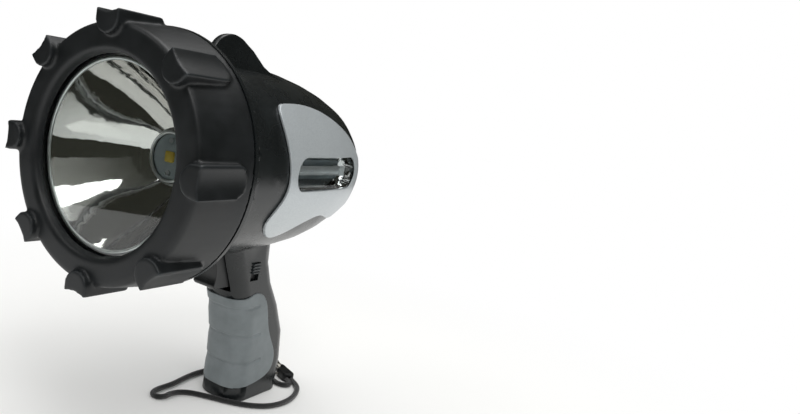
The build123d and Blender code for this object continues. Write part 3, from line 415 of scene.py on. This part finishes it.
def braided_nylon():
    """Braided nylon cord: strands crossing in a herringbone along the cord's own map."""
    material, tree, _ = new_material("braided_nylon")
    uv = add_node(tree, "ShaderNodeTexCoord").outputs["UV"]
    waves = []
    for lean in (1, -1):
        turned = add_node(tree, "ShaderNodeMapping", links={
            "Vector": uv,
            "Scale": (BRAID_PICKS, lean * BRAID_STRANDS, 1.0),
        })
        wave = add_node(tree, "ShaderNodeTexWave", {"bands_direction": "DIAGONAL"},
                        {"Vector": turned.outputs["Vector"], "Scale": 1.0})
        waves.append(wave.outputs["Fac"])
    crossing = add_node(tree, "ShaderNodeMath", {"operation": "MAXIMUM"})
    tree.links.new(waves[0], crossing.inputs[0])
    tree.links.new(waves[1], crossing.inputs[1])
    strand = crossing.outputs["Value"]
    shader = add_node(tree, "ShaderNodeBsdfPrincipled", links={
        "Base Color": between(tree, strand, "#060707", "#131415"),
        "Roughness": 0.62,
        "IOR": 1.5,
        "Sheen Weight": 0.3,
        "Sheen Roughness": 0.5,
        "Normal": raised(tree, strand, 0.25 * MM),
    })
    close_material(tree, shader.outputs["BSDF"])
    return material


def printed_board():
    """A circuit board: solder mask over copper, whose tracks show as a faint relief."""
    material, tree, place = new_material("printed_board")
    tracks = add_node(tree, "ShaderNodeTexBrick", {"offset": 0.5}, {
        "Vector": place, "Scale": 1 / (18 * MM), "Mortar Size": 0.03,
    })
    shader = add_node(tree, "ShaderNodeBsdfPrincipled", links={
        "Base Color": between(tree, tracks.outputs["Fac"], "#2c5a3b", "#3f7350"),
        "Roughness": 0.35,
        "IOR": 1.5,
        "Normal": raised(tree, tracks.outputs["Fac"], 0.02 * MM),
    })
    close_material(tree, shader.outputs["BSDF"])
    return material


def select_only(obj):
    """Selects one object, which the next operators then work on."""
    bpy.ops.object.select_all(action="DESELECT")
    obj.select_set(True)
    bpy.context.view_layer.objects.active = obj


def merged_copy(node, name, flatten=True):
    """A copy of a CAD node with its loose triangles joined up, and flat ones into one face."""
    piece = bpy.data.objects.new(name, frame["nodes"][node].data.copy())
    bpy.context.scene.collection.objects.link(piece)
    select_only(piece)
    bpy.ops.object.mode_set(mode="EDIT")
    bpy.ops.mesh.select_all(action="SELECT")
    bpy.ops.mesh.remove_doubles(threshold=WELD_DISTANCE)
    if flatten:
        bpy.ops.mesh.dissolve_limited(angle_limit=FLAT_ANGLE)
    bpy.ops.object.mode_set(mode="OBJECT")
    return piece


def add_modifier(piece, kind, **settings):
    """Adds a modifier and applies it."""
    select_only(piece)
    modifier = piece.modifiers.new(kind.lower(), kind)
    for name, value in settings.items():
        setattr(modifier, name, value)
    bpy.ops.object.modifier_apply(modifier=modifier.name)


def smooth(piece, angle=SMOOTH_ANGLE):
    """Shades a piece smooth, save across edges sharper than angle."""
    select_only(piece)
    bpy.ops.object.shade_smooth_by_angle(angle=angle)


def soften(piece, radius, angle=EDGE_ANGLE, segments=EDGE_SEGMENTS):
    """Rounds the edges that are sharper than angle."""
    add_modifier(
        piece, "BEVEL", width=radius, segments=segments, limit_method="ANGLE",
        angle_limit=angle, use_clamp_overlap=False,
    )


def dress(piece, node):
    """The piece stands for a CAD node, rides on its body and has its finish."""
    row = next(part for part in frame["record"]["subparts"] if part["node"] == node)
    slot_name = row["material_slot"]
    piece.data.materials.clear()
    piece.data.materials.append(finishes[slot_name])
    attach(piece, body_of_node[node])
    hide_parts(node)


def moulded(node, name, radius, wide_faces):
    """A CAD node made again with rounded edges and smooth shading.

    One with wide_faces takes its shading from its largest faces, as a rounded one does.
    """
    piece = merged_copy(node, name, flatten=radius > 0 or wide_faces)
    if radius:
        soften(piece, radius)
    smooth(piece)
    if radius or wide_faces:
        add_modifier(piece, "WEIGHTED_NORMAL", keep_sharp=True, weight=LARGE_FACE_WEIGHT)
    dress(piece, node)


def make_bezel():
    """The bezel: its lobes and rims run into each other in soft moulded curves."""
    bezel = merged_copy("bezel_ring", "bezel")
    add_modifier(bezel, "REMESH", mode="VOXEL", voxel_size=BEZEL_VOXEL)
    add_modifier(bezel, "SMOOTH", factor=SMOOTH_SHARE, iterations=BEZEL_ROUNDS)
    smooth(bezel, REMESHED_ANGLE)
    dress(bezel, "bezel_ring")


def make_plated_ring(name, ahead, radius, width, depth):
    """A plated ring round the beam's axis: an oval lip, flatter along the axis."""
    bpy.ops.object.select_all(action="DESELECT")
    bpy.ops.mesh.primitive_torus_add(
        major_radius=radius, minor_radius=width, major_segments=RING_SEGMENTS,
        minor_segments=RING_SECTION_SEGMENTS, location=(0, 0, 0),
    )
    ring = bpy.context.object
    ring.name = ring.data.name = name
    for vertex in ring.data.vertices:
        across, up, along = vertex.co
        vertex.co = (ahead + along * depth / width, across, AXIS_HEIGHT + up)
    select_only(ring)
    bpy.ops.object.mode_set(mode="EDIT")
    bpy.ops.mesh.select_all(action="SELECT")
    bpy.ops.mesh.normals_make_consistent(inside=False)
    bpy.ops.object.mode_set(mode="OBJECT")
    smooth(ring, RING_ANGLE)
    ring.data.materials.append(satin_plating)
    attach(ring, "body")


def curve_through(points, steps):
    """Points on a smooth curve that passes through all the given ones."""
    line = [Vector(point) for point in points]
    line = [2 * line[0] - line[1], *line, 2 * line[-1] - line[-2]]
    smooth_line = []
    for a, b, c, d in zip(line, line[1:], line[2:], line[3:]):
        for step in range(steps):
            t = step / steps
            smooth_line.append(0.5 * (
                2 * b + (c - a) * t + (2 * a - 5 * b + 4 * c - d) * t ** 2
                + (3 * b - a - 3 * c + d) * t ** 3
            ))
    return [*smooth_line, line[-2]]


def make_fin(name, place):
    """One crest fin: a plate on a smooth outline, with its edges rounded over."""
    outline = [*curve_through(FIN_CREST, FIN_STEPS), *(Vector(point) for point in FIN_FOOT)]
    bpy.ops.object.select_all(action="DESELECT")
    bpy.ops.mesh.primitive_circle_add(vertices=len(outline), radius=1)
    fin = bpy.context.object
    fin.name = fin.data.name = name
    for vertex, point in zip(fin.data.vertices, outline):
        vertex.co = (point.x * MM, place - FIN_HALF, point.y * MM)
    select_only(fin)
    bpy.ops.object.mode_set(mode="EDIT")
    bpy.ops.mesh.select_all(action="SELECT")
    bpy.ops.mesh.edge_face_add()
    bpy.ops.mesh.extrude_region_move(TRANSFORM_OT_translate={"value": (0, 2 * FIN_HALF, 0)})
    bpy.ops.mesh.select_all(action="SELECT")
    bpy.ops.mesh.normals_make_consistent(inside=False)
    bpy.ops.object.mode_set(mode="OBJECT")
    soften(fin, FIN_EDGE, FIN_EDGE_ANGLE, FIN_EDGE_SEGMENTS)
    smooth(fin)
    fin.data.materials.append(finishes["housing_plastic"])
    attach(fin, "body")


def make_pad():
    """The grip pad: its edges and its three finger creases softened as in moulded rubber."""
    pad = merged_copy("grip_pad", "pad")
    add_modifier(pad, "DISPLACE", strength=PAD_SWELL, mid_level=0)
    add_modifier(pad, "REMESH", mode="VOXEL", voxel_size=PAD_VOXEL)
    add_modifier(pad, "DISPLACE", strength=-PAD_SWELL, mid_level=0)
    add_modifier(pad, "SMOOTH", factor=SMOOTH_SHARE, iterations=PAD_ROUNDS)
    moves = []
    for vertex in pad.data.vertices:
        depth = 0
        for (front_x, front_z), (rear_x, rear_z) in PAD_CREASES:
            start = Vector((front_x, front_z)) * MM
            line = Vector((rear_x, rear_z)) * MM - start
            reach = Vector((vertex.co.x, vertex.co.z)) - start
            along = reach.dot(line) / line.length_squared
            below = (reach.x * line.y - reach.y * line.x) / line.length
            fade = min(1, max(0, (1 - along) / CREASE_FADE))
            width = CREASE_BELOW if below < 0 else CREASE_ABOVE
            depth += CREASE_DEPTH * fade * max(0, 1 - (below / width) ** 2) ** 2
        moves.append(vertex.normal * -depth)
    for vertex, move in zip(pad.data.vertices, moves):
        vertex.co += move
    smooth(pad, REMESHED_ANGLE)
    dress(pad, "grip_pad")


def make_lanyard():
    """The lanyard cord, one smooth curve along its route, lying on the floor."""
    points = [*CORD_START, *CORD_ROUTE, *CORD_END]
    curve = bpy.data.curves.new("lanyard_cord", "CURVE")
    curve.dimensions = "3D"
    curve.bevel_depth = CORD_DIAMETER / 2
    curve.bevel_resolution = CORD_ROUND_STEPS
    curve.resolution_u = CORD_LINE_STEPS
    curve.use_fill_caps = True
    line = curve.splines.new("NURBS")
    line.points.add(len(points) - 1)
    for point, (ahead, left) in zip(line.points, points):
        point.co = (ahead * MM, left * MM, CORD_HEIGHT, 1)
    line.order_u = 3
    line.use_endpoint_u = True
    cord = bpy.data.objects.new("lanyard_cord", curve)
    bpy.context.scene.collection.objects.link(cord)
    curve.materials.append(finishes["cord_black"])
    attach(cord, "body")
    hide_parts("wrist_loop")


def make_floor():
    """A wide pale floor that runs out to plain white for camera and gloss, with the shadow."""
    bpy.ops.mesh.primitive_plane_add(size=FLOOR_SIZE, location=(0, 0, 0))
    floor = bpy.context.object
    floor.name = "floor"
    material, tree, place = new_material("studio_floor")
    pale = add_node(tree, "ShaderNodeBsdfDiffuse", links={"Color": linear("#f4f4f2")})
    white = add_node(
        tree, "ShaderNodeEmission", links={"Color": linear("#ffffff"), "Strength": 1.0},
    )
    distance = add_node(tree, "ShaderNodeVectorMath", {"operation": "LENGTH"}, {"Vector": place})
    far = add_node(
        tree, "ShaderNodeMapRange", {"clamp": True, "interpolation_type": "SMOOTHSTEP"},
        {"Value": distance.outputs["Value"], "From Min": FLOOR_PALE_TO,
         "From Max": FLOOR_WHITE_FROM, "To Min": 0.0, "To Max": 1.0},
    )
    rays = add_node(tree, "ShaderNodeLightPath")
    seen = add_node(tree, "ShaderNodeMath", {"operation": "MAXIMUM"})
    tree.links.new(rays.outputs["Is Camera Ray"], seen.inputs[0])
    tree.links.new(rays.outputs["Is Glossy Ray"], seen.inputs[1])
    share = add_node(tree, "ShaderNodeMath", {"operation": "MULTIPLY"})
    tree.links.new(far.outputs["Result"], share.inputs[0])
    tree.links.new(seen.outputs["Value"], share.inputs[1])
    mix = add_node(tree, "ShaderNodeMixShader", links={"Fac": share.outputs["Value"]})
    tree.links.new(pale.outputs["BSDF"], mix.inputs[1])
    tree.links.new(white.outputs["Emission"], mix.inputs[2])
    close_material(tree, mix.outputs["Shader"])
    floor.data.materials.append(material)


def make_curtain():
    """A dark curtain round the floor, seen in gloss and through clear pieces, not by the camera.

    It gives black plastic and the dish contrast, where they would show the white background.
    """
    bpy.ops.object.select_all(action="DESELECT")
    bpy.ops.mesh.primitive_cylinder_add(
        vertices=CURTAIN_SIDES, radius=CURTAIN_RADIUS, depth=CURTAIN_HEIGHT,
        end_fill_type="NOTHING", location=(0, 0, CURTAIN_HEIGHT / 2),
    )
    curtain = bpy.context.object
    curtain.name = "curtain"
    curtain.visible_camera = False
    curtain.visible_diffuse = False
    curtain.visible_shadow = False
    cloth = moulded_plastic("curtain_cloth", "#24251f", "#35342b", 0.9)
    curtain.data.materials.append(cloth)


def make_world():
    """White to the camera and, above the curtain, to gloss and glass; even light otherwise."""
    world = bpy.data.worlds.new("studio")
    bpy.context.scene.world = world
    world.use_nodes = True
    tree = world.node_tree
    tree.nodes.clear()
    lit = add_node(
        tree, "ShaderNodeBackground", links={"Color": (1, 1, 1, 1), "Strength": WORLD_LIGHT},
    )
    seen = add_node(tree, "ShaderNodeBackground", links={"Color": (1, 1, 1, 1), "Strength": 1.0})
    rays = add_node(tree, "ShaderNodeLightPath")
    shows = rays.outputs["Is Camera Ray"]
    for kind in ("Is Glossy Ray", "Is Transmission Ray"):
        either = add_node(tree, "ShaderNodeMath", {"operation": "MAXIMUM"})
        tree.links.new(shows, either.inputs[0])
        tree.links.new(rays.outputs[kind], either.inputs[1])
        shows = either.outputs["Value"]
    mix = add_node(tree, "ShaderNodeMixShader", links={"Fac": shows})
    tree.links.new(lit.outputs["Background"], mix.inputs[1])
    tree.links.new(seen.outputs["Background"], mix.inputs[2])
    add_node(tree, "ShaderNodeOutputWorld", links={"Surface": mix.outputs["Shader"]})


def make_softbox(name, place, aim, width, height, power):
    """A soft rectangular lamp at place, turned to face aim."""
    data = bpy.data.lights.new(name, "AREA")
    data.shape = "RECTANGLE"
    data.size = width
    data.size_y = height
    data.energy = power
    lamp = bpy.data.objects.new(name, data)
    bpy.context.scene.collection.objects.link(lamp)
    lamp.location = place
    lamp.rotation_mode = "QUATERNION"
    lamp.rotation_quaternion = (Vector(aim) - Vector(place)).to_track_quat("-Z", "Y")


def make_camera():
    """The photograph's camera."""
    data = bpy.data.cameras.new("photo_camera")
    data.sensor_width = SENSOR_WIDTH
    data.lens = FOCAL_PIXELS * SENSOR_WIDTH / PHOTO_WIDTH
    data.shift_x = (PHOTO_WIDTH / 2 - OPTICAL_CENTRE[0]) / PHOTO_WIDTH
    data.shift_y = (OPTICAL_CENTRE[1] - PHOTO_HEIGHT / 2) / PHOTO_WIDTH
    data.clip_start = NEAREST_SEEN
    camera = bpy.data.objects.new("photo_camera", data)
    bpy.context.scene.collection.objects.link(camera)
    turn = Matrix((CAMERA_RIGHT, -CAMERA_DOWN, -CAMERA_FORWARD)).transposed()
    camera.matrix_world = Matrix.Translation(CAMERA_PLACE) @ turn.to_4x4()
    bpy.context.scene.camera = camera
    bpy.context.scene.view_settings.view_transform = "Standard"


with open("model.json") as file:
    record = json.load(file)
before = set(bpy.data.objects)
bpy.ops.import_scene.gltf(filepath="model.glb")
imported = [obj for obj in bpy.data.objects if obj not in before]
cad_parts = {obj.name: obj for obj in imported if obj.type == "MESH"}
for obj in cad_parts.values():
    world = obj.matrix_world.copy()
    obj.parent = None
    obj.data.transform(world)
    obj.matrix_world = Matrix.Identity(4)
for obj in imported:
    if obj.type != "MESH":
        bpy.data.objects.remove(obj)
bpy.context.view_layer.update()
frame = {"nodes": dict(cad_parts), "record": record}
bpy.ops.object.select_all(action="DESELECT")
body_of_node = {
    node: body for body, nodes in frame["record"]["behaviour"]["bodies"].items() for node in nodes
}

finishes = {
    "bezel_rubber": bezel_rubber(),
    "housing_plastic": housing_abs(),
    "silver_paint": silver_lacquer(),
    "clear_lens": clear_polycarbonate("lens_polycarbonate", "#f6faf8", 1.45),
    "clear_window": clear_polycarbonate("window_polycarbonate", "#e9eeef", 1.12),
    "mirror_bright": plated_reflector(),
    "gasket_rubber": moulded_plastic("gasket_silicone", "#151617", "#1b1c1d", 0.5),
    "heat_sink_metal": worked_metal("extruded_aluminium", "#9a9da0", "#b0b3b5", 0.35, 0.3 * MM),
    "board_white": moulded_plastic("grey_solder_mask", "#939ea3", "#a6b0b4", 0.35),
    "led_yellow": led_phosphor(),
    "steel_bright": worked_metal("zinc_plated_steel", "#b4b7ba", "#c6c8ca", 0.25, 0.2 * MM),
    "nickel": worked_metal("nickel_plated_zinc", "#bdbab2", "#d2cfc8", 0.16, 0.2 * MM),
    "spring_steel": worked_metal("spring_steel", "#a0a3a6", "#b3b6b8", 0.3, 0.2 * MM),
    "pad_rubber": grip_rubber(),
    "cell_sleeve": moulded_plastic("shrink_sleeve", "#34647f", "#3f7291", 0.25),
    "cradle_plastic": moulded_plastic("cradle_abs", "#26282b", "#2e3033", 0.45),
    "board_green": printed_board(),
    "switch_black": moulded_plastic("switch_nylon", "#151618", "#1c1d1f", 0.35),
    "trigger_plastic": moulded_plastic("trigger_abs", "#0f1112", "#171a1b", 0.3),
    "knob_grey": moulded_plastic("slider_acetal", "#2a2e30", "#34393b", 0.35),
    "lamp_tube": moulded_plastic("frosted_tube", "#e4e6e6", "#f2f3f2", 0.3),
    "socket_black": moulded_plastic("socket_nylon", "#131415", "#1a1b1c", 0.3),
    "cover_rubber": moulded_plastic("cover_rubber", "#1c1f20", "#242728", 0.55),
    "lanyard_black": moulded_plastic("lanyard_end_rubber", "#0e1011", "#16181a", 0.45),
    "cord_black": braided_nylon(),
}
satin_plating = worked_metal("satin_plated_lip", "#dfe2e2", "#eceeee", 0.34, 0.2 * MM)
for part in frame["record"]["subparts"]:
    mesh = frame["nodes"][part["node"]].data
    mesh.materials.clear()
    mesh.materials.append(finishes[part["material_slot"]])

make_bezel()
lens_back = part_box("front_lens")[0][0]
throat_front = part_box("led_board")[1][0]
make_plated_ring("dish_lip", lens_back - LIP_SET_BACK, LIP_RADIUS, LIP_WIDTH, LIP_DEPTH)
make_plated_ring("throat_ring", throat_front + RING_DEPTH, RING_RADIUS, RING_WIDTH, RING_DEPTH)
make_fin("crest_fin_left", FIN_PLACE)
make_fin("crest_fin_right", -FIN_PLACE)
make_pad()
for moulded_piece in MOULDED_PIECES:
    moulded(*moulded_piece)
make_lanyard()

make_floor()
make_curtain()
make_world()
for softbox in STUDIO_LAMPS:
    make_softbox(*softbox)
make_camera()
